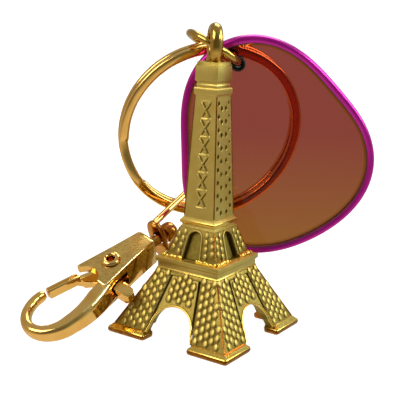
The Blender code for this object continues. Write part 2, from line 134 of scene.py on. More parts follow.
# Lens.
LENS_HOLE = Vector((3.68, 4.3, 41.45))
LENS_LEAN = radians(7)
LENS_RIGHT = Vector((1, 0, 0))
LENS_UP = Vector((0, -sin(LENS_LEAN), cos(LENS_LEAN)))
LENS_BACK = LENS_UP.cross(LENS_RIGHT)
LENS_HALF = 0.55
RIM_WIDTH = 1.3
RIM_HALF = 0.85
COATED_IOR = 1.25
DYE_FOOT = 11
DYE_TOP = 31

# Nearly all of a noise's values lie between these two.
NOISE_LOW, NOISE_HIGH = 0.3, 0.7


# ---------------------------------------------------------------- finishes

def linear(code):
    """An sRGB hex colour as linear red, green, blue and alpha."""
    parts = [int(code[n:n + 2], 16) / 255 for n in (1, 3, 5)]
    return [p / 12.92 if p <= 0.04045 else ((p + 0.055) / 1.055) ** 2.4 for p in parts] + [1.0]


def node(tree, kind, links=None, inputs=None, **settings):
    """Adds a node, with its settings, its input values and its links from other nodes' outputs."""
    made = tree.nodes.new(kind)
    for key, value in settings.items():
        setattr(made, key, value)
    for key, value in (inputs or {}).items():
        made.inputs[key].default_value = value
    for key, (source, output) in (links or {}).items():
        tree.links.new(source.outputs[output], made.inputs[key])
    return made


def finish(name, **values):
    """A material with its shader's even values set. Returns it with its tree and its shader."""
    material = bpy.data.materials.new(name)
    material.use_nodes = True
    shader = material.node_tree.nodes["Principled BSDF"]
    for key, value in values.items():
        shader.inputs[key.replace("_", " ")].default_value = value
    return material, material.node_tree, shader


def colour_of(mix):
    """A colour mix's own output. Its outputs for numbers and vectors have the same name."""
    return next(out for out in mix.outputs if out.type == "RGBA")


def grain(tree, size, detail=2.0, stretch=(1, 1, 1), turn=(0, 0, 0)):
    """Noise whose blotches are size millimetres wide, pulled out along the axes of stretch."""
    place = node(tree, "ShaderNodeTexCoord")
    mapping = node(tree, "ShaderNodeMapping", {"Vector": (place, "Object")},
                   {"Rotation": turn, "Scale": stretch})
    return node(tree, "ShaderNodeTexNoise", {"Vector": (mapping, "Vector")},
                {"Scale": 1 / (size * MM), "Detail": detail, "Roughness": 0.55})


def tinted(tree, shader, share, first, second):
    """Colours a finish from its first tone to its second, as the share goes from 0 to 1."""
    mix = node(tree, "ShaderNodeMix", {"Factor": share}, {"A": linear(first), "B": linear(second)},
               data_type="RGBA")
    tree.links.new(colour_of(mix), shader.inputs["Base Color"])


def dulled(tree, shader, skin, lowest, highest):
    """Breaks up a finish's gloss: its roughness follows the skin's noise."""
    rough = node(tree, "ShaderNodeMapRange", {"Value": (skin, "Fac")},
                 {"From Min": NOISE_LOW, "From Max": NOISE_HIGH, "To Min": lowest, "To Max": highest})
    tree.links.new(rough.outputs["Result"], shader.inputs["Roughness"])


def grained(name, tones, patch, skin, gloss, relief=None, ripple=None, **values):
    """A finish that drifts between two close tones in patches, with a finer skin in its gloss.

    Patch, skin and ripple are grain's values, and gloss is the lowest and the highest roughness.
    Relief is how high the skin stands in millimetres and how strongly it shows. A ripple is
    raised in the skin's place.
    """
    material, tree, shader = finish(name, **values)
    share = node(tree, "ShaderNodeMapRange", {"Value": (grain(tree, *patch), "Fac")},
                 {"From Min": NOISE_LOW, "From Max": NOISE_HIGH})
    tinted(tree, shader, (share, "Result"), *tones)
    fine = grain(tree, *skin)
    dulled(tree, shader, fine, *gloss)
    if relief:
        height, strength = relief
        bump = node(tree, "ShaderNodeBump", {"Height": (grain(tree, *ripple) if ripple else fine, "Fac")},
                    {"Distance": height * MM, "Strength": strength})
        tree.links.new(bump.outputs["Normal"], shader.inputs["Normal"])
    return material


def satin_plated_casting():
    # Zinc die casting, tumbled and plated in pale gold: soft, slightly green-gold gloss with a
    # fine cast skin.
    return grained("satin_plated_zinc_casting", ("#C6AE5C", "#D2BC6C"), (2.6,), (0.22, 3.0), (0.36, 0.5),
                   relief=(0.02, 0.5), Metallic=1.0)


def painted_shade_recess_casting():
    # The same casting in its recesses: dull and a little brown, and darker as painted shade.
    return grained("painted_shade_zinc_recess", ("#75642A", "#8C7A36"), (0.9,), (0.2, 3.0), (0.45, 0.62),
                   relief=(0.03, 0.6), Metallic=1.0)


def scale_casting():
    # The raised scales: the same plated casting, tumbled less than the flat faces, so a tone darker.
    return grained("tumbled_plated_scales", ("#AA944A", "#BAA458"), (1.8,), (0.2, 3.0), (0.34, 0.48),
                   relief=(0.02, 0.5), Metallic=1.0)


def painted_shadow_slit_casting():
    # The bottoms of the slits: painted shadow, almost black, with next to no gloss.
    return grained("painted_shadow_zinc_slit", ("#3A1E0C", "#4A2812"), (0.9,), (0.3,), (0.5, 0.7), Metallic=0.6)


def painted_shade_ground_casting():
    # The ground between the scales and the walls of hollows: dull, and darker as painted shade.
    return grained("painted_shade_plated_ground", ("#8E7A38", "#A08C46"), (1.2,), (0.2, 3.0), (0.4, 0.55),
                   relief=(0.02, 0.5), Metallic=1.0)


def worn_corner_and_shade():
    # Sharp corners, rubbed through the pale gold to the copper strike under it: a thin
    # red-brown line. On the feet's lower nose the same red-brown is painted shade.
    return grained("copper_wear_and_painted_shade", ("#8C541C", "#B0762C"), (0.8,), (0.3,), (0.25, 0.4), Metallic=1.0)


def buffed_edge_and_highlight():
    # Edges and mouldings that the tumbling has buffed: glossier, and a warmer, brighter gold that is partly
    # painted highlight.
    return grained("buffed_gold_painted_highlight", ("#E2B64C", "#EFCB6A"), (1.4,), (0.35,), (0.12, 0.26),
                   relief=(0.02, 0.5), Metallic=1.0)


def polished_gold_plate():
    # Steel and brass, polished and plated in warm gold: sharp reflections with a faint ripple
    # from polishing.
    return grained("polished_gold_plate", ("#E6B25A", "#EEC272"), (3.0,), (0.5, 4.0), (0.06, 0.17),
                   relief=(0.02, 0.5), ripple=(2.4, 1.0), Metallic=1.0)


def pale_gold_wire():
    # Drawn brass wire, barrelled and plated in the tower's pale gold: glossy, with soft, fine
    # unevenness.
    return grained("pale_gold_plated_wire", ("#AE8A3C", "#C09C50"), (1.0, 3.0), (0.4, 3.0), (0.1, 0.24),
                   relief=(0.02, 0.4), Metallic=1.0)


def amber_gold_plate():
    # The swivel's base plate and stud, in a glossy gold coloured amber-brown.
    return grained("amber_brown_gold_plate", ("#B47630", "#D09A50"), (1.6,), (0.6, 3.0), (0.1, 0.22),
                   relief=(0.01, 0.4), Metallic=1.0)


def brushed_gold_plate():
    # The hook's flat faces, linished along their length before plating: fine lines and a
    # browner, softer gloss.
    along_hook = Matrix((SNAP_A, SNAP_B, SNAP_C)).to_euler()
    return grained("brushed_gold_plate", ("#BE9A54", "#CCA85E"), (1.2, 3.0),
                   (0.16, 3.0, (0.06, 1.0, 1.0), along_hook), (0.22, 0.42), relief=(0.015, 0.6), Metallic=1.0)


def painted_highlight_edge():
    # The hook's chamfers, brighter than its faces: a pale, near-white gold that paints a highlight line along
    # each edge.
    return grained("painted_highlight_chamfer", ("#FAD98C", "#FFE9B0"), (0.8,), (0.5,), (0.14, 0.26),
                   Metallic=1.0)


def tinted_lens_plastic():
    # Cast acrylic dyed from amber at the foot to rose at the top. Its anti-glare coat makes it
    # almost free of glare, so it bends light less than bare acrylic would.
    material, tree, shader = finish("dyed_cast_acrylic", Transmission_Weight=1.0, IOR=COATED_IOR)
    place = node(tree, "ShaderNodeTexCoord")
    parts = node(tree, "ShaderNodeSeparateXYZ", {"Vector": (place, "Object")})
    height = node(tree, "ShaderNodeMapRange", {"Value": (parts, "Z")},
                  {"From Min": DYE_FOOT * MM, "From Max": DYE_TOP * MM})
    tinted(tree, shader, (height, "Result"), "#C6803C", "#BC5C56")
    dulled(tree, shader, grain(tree, 4.0), 0.01, 0.03)
    return material


def tinted_lens_edge():
    # The lens's bevelled edge, where the dye is seen along its depth: a thin amber-brown line.
    return grained("dyed_acrylic_edge", ("#96541C", "#A45E22"), (4.0,), (2.0,), (0.04, 0.1),
                   Transmission_Weight=1.0, IOR=COATED_IOR)


def lacquered_rim():
    # Metal rim dipped in magenta lacquer: deep colour under a clear glossy coat.
    return grained("magenta_lacquer", ("#AE0A8C", "#C0189C"), (6.0,), (3.0, 1.0), (0.26, 0.36),
                   IOR=1.5, Metallic=0.75, Coat_Weight=0.2, Coat_Roughness=0.12, Coat_IOR=1.5)


def painted_shadow_lacquer_lip():
    # The rim's lip against the lens: a thin, nearly black plum line of painted shadow.
    return grained("painted_shadow_dark_lacquer", ("#4A0A2C", "#5C1038"), (2.0,), (0.6,), (0.4, 0.6), IOR=1.5)


def moulded_rubber():
    # Black moulded rubber: near-black, matt, with a fine mould grain.
    return grained("moulded_black_rubber", ("#131416", "#24262A"), (0.15, 3.0), (0.15, 3.0), (0.45, 0.65),
                   relief=(0.02, 0.5), IOR=1.52)


def drawn_spring_steel():
    # Drawn spring wire, bare: grey, with a faintly uneven gloss.
    return grained("drawn_spring_steel", ("#A8A49C", "#C2BEB6"), (0.4,), (0.2,), (0.2, 0.35), Metallic=1.0)


SATIN = satin_plated_casting()
RECESS_SHADE = painted_shade_recess_casting()
SCALES = scale_casting()
SLIT_SHADOW = painted_shadow_slit_casting()
SHADED_GROUND = painted_shade_ground_casting()
WEAR_AND_SHADE = worn_corner_and_shade()
BUFFED_HIGHLIGHT = buffed_edge_and_highlight()
POLISHED = polished_gold_plate()
PALE_WIRE = pale_gold_wire()
AMBER_GOLD = amber_gold_plate()
BRUSHED = brushed_gold_plate()
EDGE_HIGHLIGHT = painted_highlight_edge()
DYED = tinted_lens_plastic()
DYED_EDGE = tinted_lens_edge()
LACQUER = lacquered_rim()
LIP_SHADOW = painted_shadow_lacquer_lip()
RUBBER = moulded_rubber()
SPRING_WIRE = drawn_spring_steel()


# ---------------------------------------------------------------- shaping

def loft(bm, sections, closed=False):
    """A solid through a row of matching outlines. A closed one joins its last outline to its first."""
    rows = [[bm.verts.new(point) for point in section] for section in sections]
    pairs = list(zip(rows, rows[1:]))
    if closed:
        pairs.append((rows[-1], rows[0]))
    else:
        bm.faces.new(rows[0])
        bm.faces.new(rows[-1])
    for near, far in pairs:
        for n in range(len(near)):
            bm.faces.new((near[n - 1], near[n], far[n], far[n - 1]))


def sweep(bm, frames, section, closed=False):
    """A bar along (centre, u axis, v axis) frames. Section gives (u, v) points from how far along it is."""
    outlines = []
    for step, (centre, u_axis, v_axis) in enumerate(frames):
        points = section(step / (len(frames) - 1)) if callable(section) else section
        outlines.append([centre + u * u_axis + v * v_axis for u, v in points])
    loft(bm, outlines, closed)


def heading(points, n):
    """The direction of a row of points at its nth point."""
    return (points[min(n + 1, len(points) - 1)] - points[max(n - 1, 0)]).normalized()


def ring(radius, count, stretch=1.0):
    angles = [2 * pi * (n + 0.5) / count for n in range(count)]
    return [(radius * cos(angle), radius * stretch * sin(angle)) for angle in angles]


def squircle(half_u, half_v, count, power):
    """An outline from an ellipse (power 2) towards a rectangle (higher powers)."""
    points = []
    for n in range(count):
        angle = 2 * pi * (n + 0.5) / count
        c, s = cos(angle), sin(angle)
        points.append((half_u * abs(c) ** (2 / power) * (1 if c > 0 else -1),
                       half_v * abs(s) ** (2 / power) * (1 if s > 0 else -1)))
    return points


def turned(bm, start, direction, profile, count=48):
    """A closed ring turned about an axis from a closed outline of (radius, height) points."""
    u_axis = direction.orthogonal().normalized()
    v_axis = direction.cross(u_axis)
    outlines = []
    for n in range(count):
        angle = 2 * pi * n / count
        outward = cos(angle) * u_axis + sin(angle) * v_axis
        outlines.append([start + radius * outward + height * direction for radius, height in profile])
    loft(bm, outlines, closed=True)


def rod(bm, start, end, radius, count=32):
    """A round bar between two points."""
    direction = (end - start).normalized()
    u_axis = direction.orthogonal().normalized()
    v_axis = direction.cross(u_axis)
    loft(bm, [[centre + u * u_axis + v * v_axis for u, v in ring(radius, count)] for centre in (start, end)])


def square(half, height):
    return [Vector((half, half, height)), Vector((-half, half, height)),
            Vector((-half, -half, height)), Vector((half, -half, height))]


def stack(bm, levels):
    """A solid through squares about the axis, each with its half width and its height."""
    loft(bm, [square(half, height) for half, height in levels])


def shaped(bm, name, place):
    """An object made of the shape, in metres and in its place."""
    bmesh.ops.recalc_face_normals(bm, faces=bm.faces)
    bm.transform(Matrix.Scale(MM, 4) @ place)
    mesh = bpy.data.meshes.new(name)
    bm.to_mesh(mesh)
    bm.free()
    made = bpy.data.objects.new(name, mesh)
    bpy.context.collection.objects.link(made)
    return made


def carve(piece, bm, operation="DIFFERENCE", place=CHARM):
    """Cuts a shape out of a piece, or joins one to it."""
    tool = shaped(bm, "tool", place)
    step = piece.modifiers.new("carve", "BOOLEAN")
    step.operation = operation
    step.object = tool
    step.solver = "EXACT"
    settle(piece)
    bpy.data.objects.remove(tool, do_unlink=True)


def drill(piece, start, end, radius, count=32):
    """Cuts a round hole from one point to another."""
    bm = bmesh.new()
    rod(bm, start, end, radius, count)
    carve(piece, bm)


def settle(piece):
    """Makes the modifiers' result the piece's own mesh."""
    mesh = bpy.data.meshes.new_from_object(piece.evaluated_get(bpy.context.evaluated_depsgraph_get()))
    piece.modifiers.clear()
    piece.data = mesh


def ease(piece, width, segments=3, angle=40):
    """Rounds the piece's edges."""
    step = piece.modifiers.new("ease", "BEVEL")
    step.width = width * MM
    step.segments = segments
    step.limit_method = "ANGLE"
    step.angle_limit = radians(angle)
    settle(piece)


def hand_over(piece, body, materials, replaces=(), smooth=40):
    """Gives a piece its finishes, its body and the CAD nodes that it stands for."""
    kinds = [face.material_index for face in piece.data.polygons]
    piece.data.materials.clear()
    for material in materials:
        piece.data.materials.append(material)
    piece.data.polygons.foreach_set("material_index", [min(kind, len(materials) - 1) for kind in kinds])
    piece.data.shade_smooth()
    piece.data.set_sharp_from_angle(angle=radians(smooth))
    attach(piece, body)
    if replaces:
        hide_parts(*replaces)


def face_turn(number):
    """Turns from the tower's front to one of its four sides."""
    return Matrix.Rotation(number * pi / 2, 4, "Z")


# ---------------------------------------------------------------- tower

def leg_half(height):
    """Half the width over the legs at a height."""
    return LEG_FOOT_HALF + (LEG_TOP_HALF - LEG_FOOT_HALF) * (height - FOOT_TOP) / (BASE_TOP - FOOT_TOP)


def slit_half(height):
    """Half the width between two legs at a height."""
    return SLIT_HALF_LOW + (SLIT_HALF_HIGH - SLIT_HALF_LOW) * height / SLIT_TOP


def side_block(number, outline, depths, half=None):
    """A block on one side of the tower, with the same (s, z) outline at two depths.

    The depths are taken from the side's own tapered face where half gives it, else from the axis.
    """
    bm = bmesh.new()
    loft(bm, [[Vector((s, depth - (half(z) if half else 0), z)) for s, z in outline] for depth in depths])
    bm.transform(face_turn(number))
    return bm


def side_bar(bm, number, points, rise, section):
    """A bar on one side of the tower. Rise is how much that side looks up."""
    out = Vector((0, -1, rise)).normalized()
    frames = []
    for n, point in enumerate(points):
        aside = heading(points, n).cross(out).normalized()
        frames.append((point, aside, aside.cross(heading(points, n))))
    before = len(bm.verts)
    sweep(bm, frames, section)
    bm.verts.ensure_lookup_table()
    bmesh.ops.transform(bm, matrix=face_turn(number), verts=bm.verts[before:])


def paint_wall_shade(piece):
    """Gives the narrow walls that look along a side of the tower the piece's second finish, as painted shade.
    """
    home = TOWER.inverted().to_3x3()
    for face in piece.data.polygons:
        normal = home @ face.normal
        slope = min(abs(normal.x), abs(normal.y)) + abs(normal.z)
        centre = TOWER.inverted() @ (face.center / MM)
        along = centre.y if abs(normal.x) > abs(normal.y) else centre.x
        outside = max(abs(centre.x), abs(centre.y)) > leg_half(centre.z) - 0.12
        face.material_index = 1 if slope < 0.35 and not outside and abs(along) > 2.5 else 0


def tower_legs():
    bm = bmesh.new()
    stack(bm, [(leg_half(1.15), 1.15), (LEG_TOP_HALF, BASE_TOP)])
    legs = shaped(bm, "tower_legs", TOWER)
    bm = bmesh.new()
    stack(bm, [(leg_half(0) - WALL, 0), (leg_half(9.0) - WALL, 9.0)])
    carve(legs, bm, place=TOWER)
    opening = [(-slit_half(0), 0), (slit_half(0), 0), (slit_half(SLIT_TOP), SLIT_TOP),
               (-slit_half(SLIT_TOP), SLIT_TOP)]
    for number in range(2):
        carve(legs, side_block(number, opening, (-13, 13)), place=TOWER)
    ease(legs, 0.08, 2)
    # Painted shade: the slit walls get the dark recess finish, the rest the darker ground finish.
    paint_wall_shade(legs)
    hand_over(legs, "tower", [SHADED_GROUND, RECESS_SHADE], ["tower_base"])


def foot_outline(low, high, corner):
    """A square from low to high both ways with rounded corners."""
    points = []
    for centre_x, centre_y, start in ((high - corner, high - corner, 0), (low + corner, high - corner, 90),
                                      (low + corner, low + corner, 180), (high - corner, low + corner, 270)):
        for step in range(5):
            angle = radians(start + 22.5 * step)
            points.append((centre_x + corner * cos(angle), centre_y + corner * sin(angle)))
    return points


def tower_feet():
    """Four feet with a round nose all the way round, open underneath like the legs."""
    bm = bmesh.new()
    for number in range(4):
        sections = []
        for height, inset in ((0, 0.32), (0.07, 0.14), (0.24, 0.03), (0.48, 0), (0.74, 0.03), (0.9, 0.12),
                              (0.97, 0.26), (1.18, 0.45), (1.42, 0.76)):
            sections.append([face_turn(number) @ Vector((x, y, height))
                             for x, y in foot_outline(3.95 + inset, 11.0 - inset, 0.35)])
        loft(bm, sections)
    feet = shaped(bm, "tower_feet", TOWER)
    bm = bmesh.new()
    stack(bm, [(8.95, -1), (8.35, 1.6)])
    carve(feet, bm, place=TOWER)
    # Painted light: the upper slope gets the brighter buffed gold as highlight, the lower nose the red-brown
    # as shade.
    for face in feet.data.polygons:
        face.material_index = 0 if face.center.z > 0.8 * MM else 1
    hand_over(feet, "tower", [BUFFED_HIGHLIGHT, WEAR_AND_SHADE])


def arch_points(grow=0.0):
    """The round top of an arch, from its left to its right spring."""
    count = 24
    angles = [pi - n * pi / count for n in range(count + 1)]
    rise = ARCH_TOP + grow - ARCH_SPRING
    return [((ARCH_HALF + grow) * cos(angle), ARCH_SPRING + rise * sin(angle)) for angle in angles]


def arch_plate(side, number):
    """The plate over one arch, with a seam between it and the legs."""
    top = slit_half(SLIT_TOP) - SEAM
    low = slit_half(ARCH_SPRING) - SEAM
    outline = [(-top, SLIT_TOP - 0.05), (-low, ARCH_SPRING)] + arch_points()
    outline += [(low, ARCH_SPRING), (top, SLIT_TOP - 0.05)]
    plate = shaped(side_block(number, outline, (0.05, 1.35), leg_half), f"arch_plate_{side}", TOWER)
    # Painted shade: the slit walls get the dark recess finish, the rest the darker ground finish.
    paint_wall_shade(plate)
    hand_over(plate, "tower", [SHADED_GROUND, RECESS_SHADE], [f"arch_panel_{side}"])


def arch_beads():
    """A bead in buffed gold, with painted highlight, that follows each arch and runs down to the feet."""
    bm = bmesh.new()
    for number in range(4):
        route = [(-4.12, 1.3), (-3.95, 1.9)] + arch_points(0.12) + [(3.95, 1.9), (4.12, 1.3)]
        points = [Vector((s, 0.08 - leg_half(z), z)) for s, z in route]
        side_bar(bm, number, points, 0.5, ring(0.17, 10, 1.25))
    beads = shaped(bm, "arch_beads", TOWER)
    hand_over(beads, "tower", [BUFFED_HIGHLIGHT], smooth=60)


def scale_dome(bm, centre, across, along, out, half_width, half_length, height):
    """One raised scale: an egg-shaped dome, closed underneath."""
    sections = []
    for size, lift in ((1.0, -0.08), (0.98, 0.2), (0.9, 0.58), (0.72, 0.84), (0.42, 0.96), (0.14, 1.0)):
        points = []
        for u, v in ring(size, 10):
            broad = 1 - 0.18 * v
            flat = centre + u * half_width * broad * across + v * half_length * along
            points.append(flat + lift * height * out)
        sections.append(points)
    loft(bm, sections)


def tilted(number, s, z, half):
    """A point on a tapered side at (s, z), with its across, along and outward directions."""
    slope = (half(z + 0.5) - half(z - 0.5))
    along = Vector((0, -slope, 1)).normalized()
    out = Vector((0, -1, -slope)).normalized()
    turn = face_turn(number)
    return turn @ Vector((s, -half(z), z)), turn @ Vector((1, 0, 0)), turn @ along, turn @ out


def leg_scales():
    """Raised scales over the legs and the arch plates, in columns that run down along the slits."""
    bm = bmesh.new()
    for number in range(4):
        for column in range(-11, 12):
            for row in range(9):
                z = 1.95 + (row + 0.5 * (column % 2)) * SCALE_ROW
                if z > 9.85:
                    continue
                if abs(column) < 4:
                    s = column * SCALE_PITCH
                    rise = max(0, 1 - (s / (ARCH_HALF + 0.75)) ** 2) ** 0.5
                    arch = ARCH_SPRING + (ARCH_TOP + 0.7 - ARCH_SPRING) * rise
                    if abs(s) > slit_half(z) - 0.88 or z < arch:
                        continue
                else:
                    offset = 0.64 + (abs(column) - 4) * SCALE_PITCH
                    s = (slit_half(z) + offset) * (1 if column > 0 else -1)
                    if abs(s) > leg_half(z) - 0.42:
                        continue
                at, across, along, out = tilted(number, s, z, leg_half)
                size = 1 + 0.08 * noise.noise(Vector((s, z, number * 7)))
                scale_dome(bm, at, across, along, out, 0.53 * size, 0.7 * size, 0.25)
    scales = shaped(bm, "leg_scales", TOWER)
    hand_over(scales, "tower", [SCALES], smooth=70)


def corner_lines():
    """The rubbed corners of the legs, the second stage and the shaft."""
    bm = bmesh.new()
    for number in range(4):
        turn = face_turn(number)
        for half, low, high, radius in ((leg_half, 1.5, 10.1, 0.16), (stage_half, 12.9, 16.6, 0.13),
                                        (shaft_half, 18.6, 36.9, 0.11)):
            frames = []
            for height in (low, high):
                frames.append((turn @ Vector((half(height) - 0.04, 0.04 - half(height), height)),
                               turn @ Vector((1, 0, 0)), turn @ Vector((0, 1, 0))))
            sweep(bm, frames, ring(radius, 8))
    lines = shaped(bm, "rubbed_corners", TOWER)
    hand_over(lines, "tower", [WEAR_AND_SHADE], smooth=60)


def lower_deck():
    """The first cornice, its foot in buffed gold whose brighter colour is painted highlight."""
    bm = bmesh.new()
    stack(bm, [(5.62, BASE_TOP - 0.02), (5.62, 10.35), (5.5, 10.45), (5.52, 11.2), (5.72, 11.35),
               (5.8, 11.42), (5.8, DECK_TOP)])
    deck = shaped(bm, "lower_deck_casting", TOWER)
    ease(deck, 0.06, 2, 20)
    for face in deck.data.polygons:
        face.material_index = 1 if face.center.z < 10.42 * MM else 0
    hand_over(deck, "tower", [SATIN, BUFFED_HIGHLIGHT], ["lower_deck"])


def stage_half(height):
    """Half the second stage's width at a height."""
    share = (height - STAGE_FOOT) / (STAGE_TOP - STAGE_FOOT)
    return STAGE_FOOT_HALF + (STAGE_TOP_HALF - STAGE_FOOT_HALF) * share


def niche_points(grow=0.0):
    """A niche's outline, with a round head and sides that draw in."""
    arch = [radians(angle) for angle in range(0, 181, 15)]
    points = [(-1.5 - grow, 12.2), (1.5 + grow, 12.2)]
    return points + [((1.1 + grow) * cos(t), 15.5 + (0.85 + grow) * sin(t)) for t in arch]


def middle_stage():
    """The second stage, with an arched niche and a slit beside it in each side."""
    bm = bmesh.new()
    stack(bm, [(4.75, DECK_TOP - 0.02), (4.75, 12.5), (4.4, 12.75), (stage_half(STAGE_FOOT), STAGE_FOOT),
               (stage_half(STAGE_TOP), STAGE_TOP)])
    stage = shaped(bm, "middle_stage_casting", TOWER)
    for number in range(4):
        carve(stage, side_block(number, niche_points(), (-2, 0.65), stage_half), place=TOWER)
        slit = [(1.1, 12.25), (1.42, 12.25), (1.08, 15.6), (0.86, 15.6)]
        carve(stage, side_block(number, slit, (-5, -1.2)), place=TOWER)
    # Painted shade: the slits get the near-black finish, the niche floors the dark recess finish, the rest
    # the darker ground.
    for face in stage.data.polygons:
        centre = TOWER.inverted() @ (face.center / MM)
        across, depth = sorted((abs(centre.x), abs(centre.y)))
        in_slit = depth < stage_half(centre.z) - 0.7 and across < 1.55 and 12.15 < centre.z < 16.4
        in_niche = depth < stage_half(centre.z) - 0.1 and across < 1.7 and 12.15 < centre.z < 16.5
        floor = in_niche and depth < stage_half(centre.z) - 0.6
        face.material_index = 1 if in_slit else 2 if floor else 0
    hand_over(stage, "tower", [SHADED_GROUND, SLIT_SHADOW, RECESS_SHADE], ["middle_stage"], smooth=30)


def stage_trim():
    """Raised frames round the niches, and two columns of scales on each corner leg."""
    bm = bmesh.new()
    for number in range(4):
        first, *others = niche_points(0.16)
        points = [Vector((s, 0.02 - stage_half(z), z)) for s, z in others + [first]]
        side_bar(bm, number, points, 0.33, ring(0.2, 10, 1.1))
        for side in (-1, 1):
            for column, share in enumerate((0.24, 0.72)):
                for row in range(4):
                    z = 13.1 + 1.0 * row + 0.5 * column
                    if z > 16.4:
                        continue
                    inner = 1.85 - 0.4 * (z - 13) / 3.7
                    s = side * (inner + share * (stage_half(z) - inner))
                    at, across, along, out = tilted(number, s, z, stage_half)
                    scale_dome(bm, at, across, along, out, 0.46, 0.6, 0.22)
    trim = shaped(bm, "stage_frames_and_scales", TOWER)
    hand_over(trim, "tower", [SCALES], smooth=60)


def stage_beading():
    """An uneven cord in buffed gold, with painted highlight, along the ledge, broken in front of each niche.
    """
    bm = bmesh.new()
    for number in range(4):
        turn = face_turn(number)
        for side in (-1, 1):
            frames = []
            for n in range(41):
                s = side * (1.3 + 3.6 * n / 40)
                wander = noise.noise(Vector((s * 1.9, number * 3.1, 0.4)))
                lump = 0.31 + 0.2 * wander
                frames.append((turn @ Vector((s, -4.85 + 0.12 * wander, 12.3 + 0.1 * wander)), lump))
            outlines = [[centre + turn @ Vector((0, u * lump, v * lump)) for u, v in ring(1, 12)]
                        for centre, lump in frames]
            loft(bm, outlines)
    beads = shaped(bm, "stage_beading", TOWER)
    hand_over(beads, "tower", [BUFFED_HIGHLIGHT], smooth=70)


def upper_deck():
    """The second cornice, its edge in buffed gold whose brighter colour is painted highlight."""
    bm = bmesh.new()
    stack(bm, [(3.12, STAGE_TOP - 0.02), (3.15, 16.86), (2.92, 16.98), (2.94, 17.3), (3.2, 17.42),
               (3.2, 17.84), (2.8, UPPER_DECK_TOP)])
    deck = shaped(bm, "upper_deck_casting", TOWER)
    ease(deck, 0.05, 2, 20)
    for face in deck.data.polygons:
        face.material_index = 1 if 17.4 < face.center.z / MM < 17.95 else 0
    hand_over(deck, "tower", [SATIN, BUFFED_HIGHLIGHT], ["upper_deck"])


def shaft_half(height):
    """Half the shaft's width at a height, up to its collar and in it."""
    if height > COLLAR_LIP:
        return SHAFT_HEAD_HALF + COLLAR_STEP
    if height > COLLAR:
        return SHAFT_HEAD_HALF + COLLAR_STEP * (height - COLLAR) / 0.15
    share = (height - UPPER_DECK_TOP) / (COLLAR - UPPER_DECK_TOP)
    return SHAFT_FOOT_HALF + (SHAFT_HEAD_HALF - SHAFT_FOOT_HALF) * share


def ridge(distance, width, power=2):
    """1 on a line, fading to 0 over a width on both sides of it."""
    return exp(-(distance / width) ** power)


def ornament(s, z):
    """Crossed braces, one pair over the other, with a bar between the pairs and shaded sides."""
    if not BRACE_FOOT < z < 36.2:
        return 0
    along = (z - BRACE_FOOT) % BRACE_PITCH - BRACE_PITCH / 2
    offsets = (s - BRACE_LEAN * along, s + BRACE_LEAN * along)
    reach = ridge(along, 1.12, 8)
    brace = reach * max(ridge(abs(off) / (1 + BRACE_LEAN ** 2) ** 0.5, 0.13) for off in offsets)
    bar = ridge(abs(along) - BRACE_PITCH / 2, 0.11) * ridge(s, 0.85, 6)
    shade = reach * sum(ridge(off - 0.3, 0.1) for off in offsets)
    return 0.1 * max(brace, 0.7 * bar) - 0.24 * min(shade, 1) * (1 - max(brace, bar))


def dimples(s, z):
    """Upright pits: an inner pair, then an outer pair half a step lower."""
    if not 18.9 < z < 36.4:
        return 0
    half = shaft_half(z)
    deepest = 0
    for place, start in ((-0.66, 35.9), (-0.28, 35.1), (0.28, 35.1), (0.66, 35.9)):
        along = (z - start + PIT_PITCH / 2) % PIT_PITCH - PIT_PITCH / 2
        size = 0.6 if place == 0.66 and z > 26 else 1
        spread = ((s - place * half) / 0.24 / size) ** 2 + (along / 0.3 / size) ** 2
        deepest = max(deepest, exp(-spread ** 3))
    return -0.4 * deepest


def tower_shaft():
    """The shaft as one skin, pressed out for the braces on two sides and in for the pits on the others."""
    bm = bmesh.new()
    count = 56
    sections = []
    heights = [UPPER_DECK_TOP - 0.05 + 0.0935 * n for n in range(200)]
    heights += [COLLAR, COLLAR_LIP, 37.2, 37.45, 37.75, SHAFT_TOP - 0.08, SHAFT_TOP]
    for z in heights:
        half = shaft_half(z) - (0.06 if z in (COLLAR_LIP, SHAFT_TOP) else 0)
        outline = []
        for number in range(4):
            turn = face_turn(number)
            for n in range(count):
                s = half * (2 * n / count - 1)
                relief = (ornament if number % 2 == 0 else dimples)(s, z) * (abs(s) < 0.93 * half)
                outline.append(turn @ Vector((s, -half - relief, z)))
        sections.append(outline)
    loft(bm, sections)
    shaft = shaped(bm, "tower_shaft_casting", TOWER)
    # Painted shade: the pits get the dark recess finish, the sunk sides of the braces the darker ground.
    home = TOWER.inverted()
    for face in shaft.data.polygons:
        centre = home @ (face.center / MM)
        depth = max(abs(centre.x), abs(centre.y)) - shaft_half(centre.z)
        braced = abs(centre.y) > abs(centre.x)
        pressed_in = depth < (-0.06 if braced else -0.02) and centre.z < 36.9
        face.material_index = 0 if not pressed_in else 2 if braced else 1
    hand_over(shaft, "tower", [SATIN, RECESS_SHADE, SHADED_GROUND], ["tower_shaft"], smooth=40)


def eye_frames(half_height, half_depth, count):
    """Frames round the cap's oval eye."""
    along = UP.cross(EYE_AXIS)
    frames = []
    for n in range(count):
        angle = 2 * pi * n / count
        centre = Vector((0, 0, EYE_CENTRE)) + half_depth * cos(angle) * along + half_height * sin(angle) * UP
        outward = (half_height * cos(angle) * along + half_depth * sin(angle) * UP).normalized()
        frames.append((centre, outward, EYE_AXIS))
    return frames


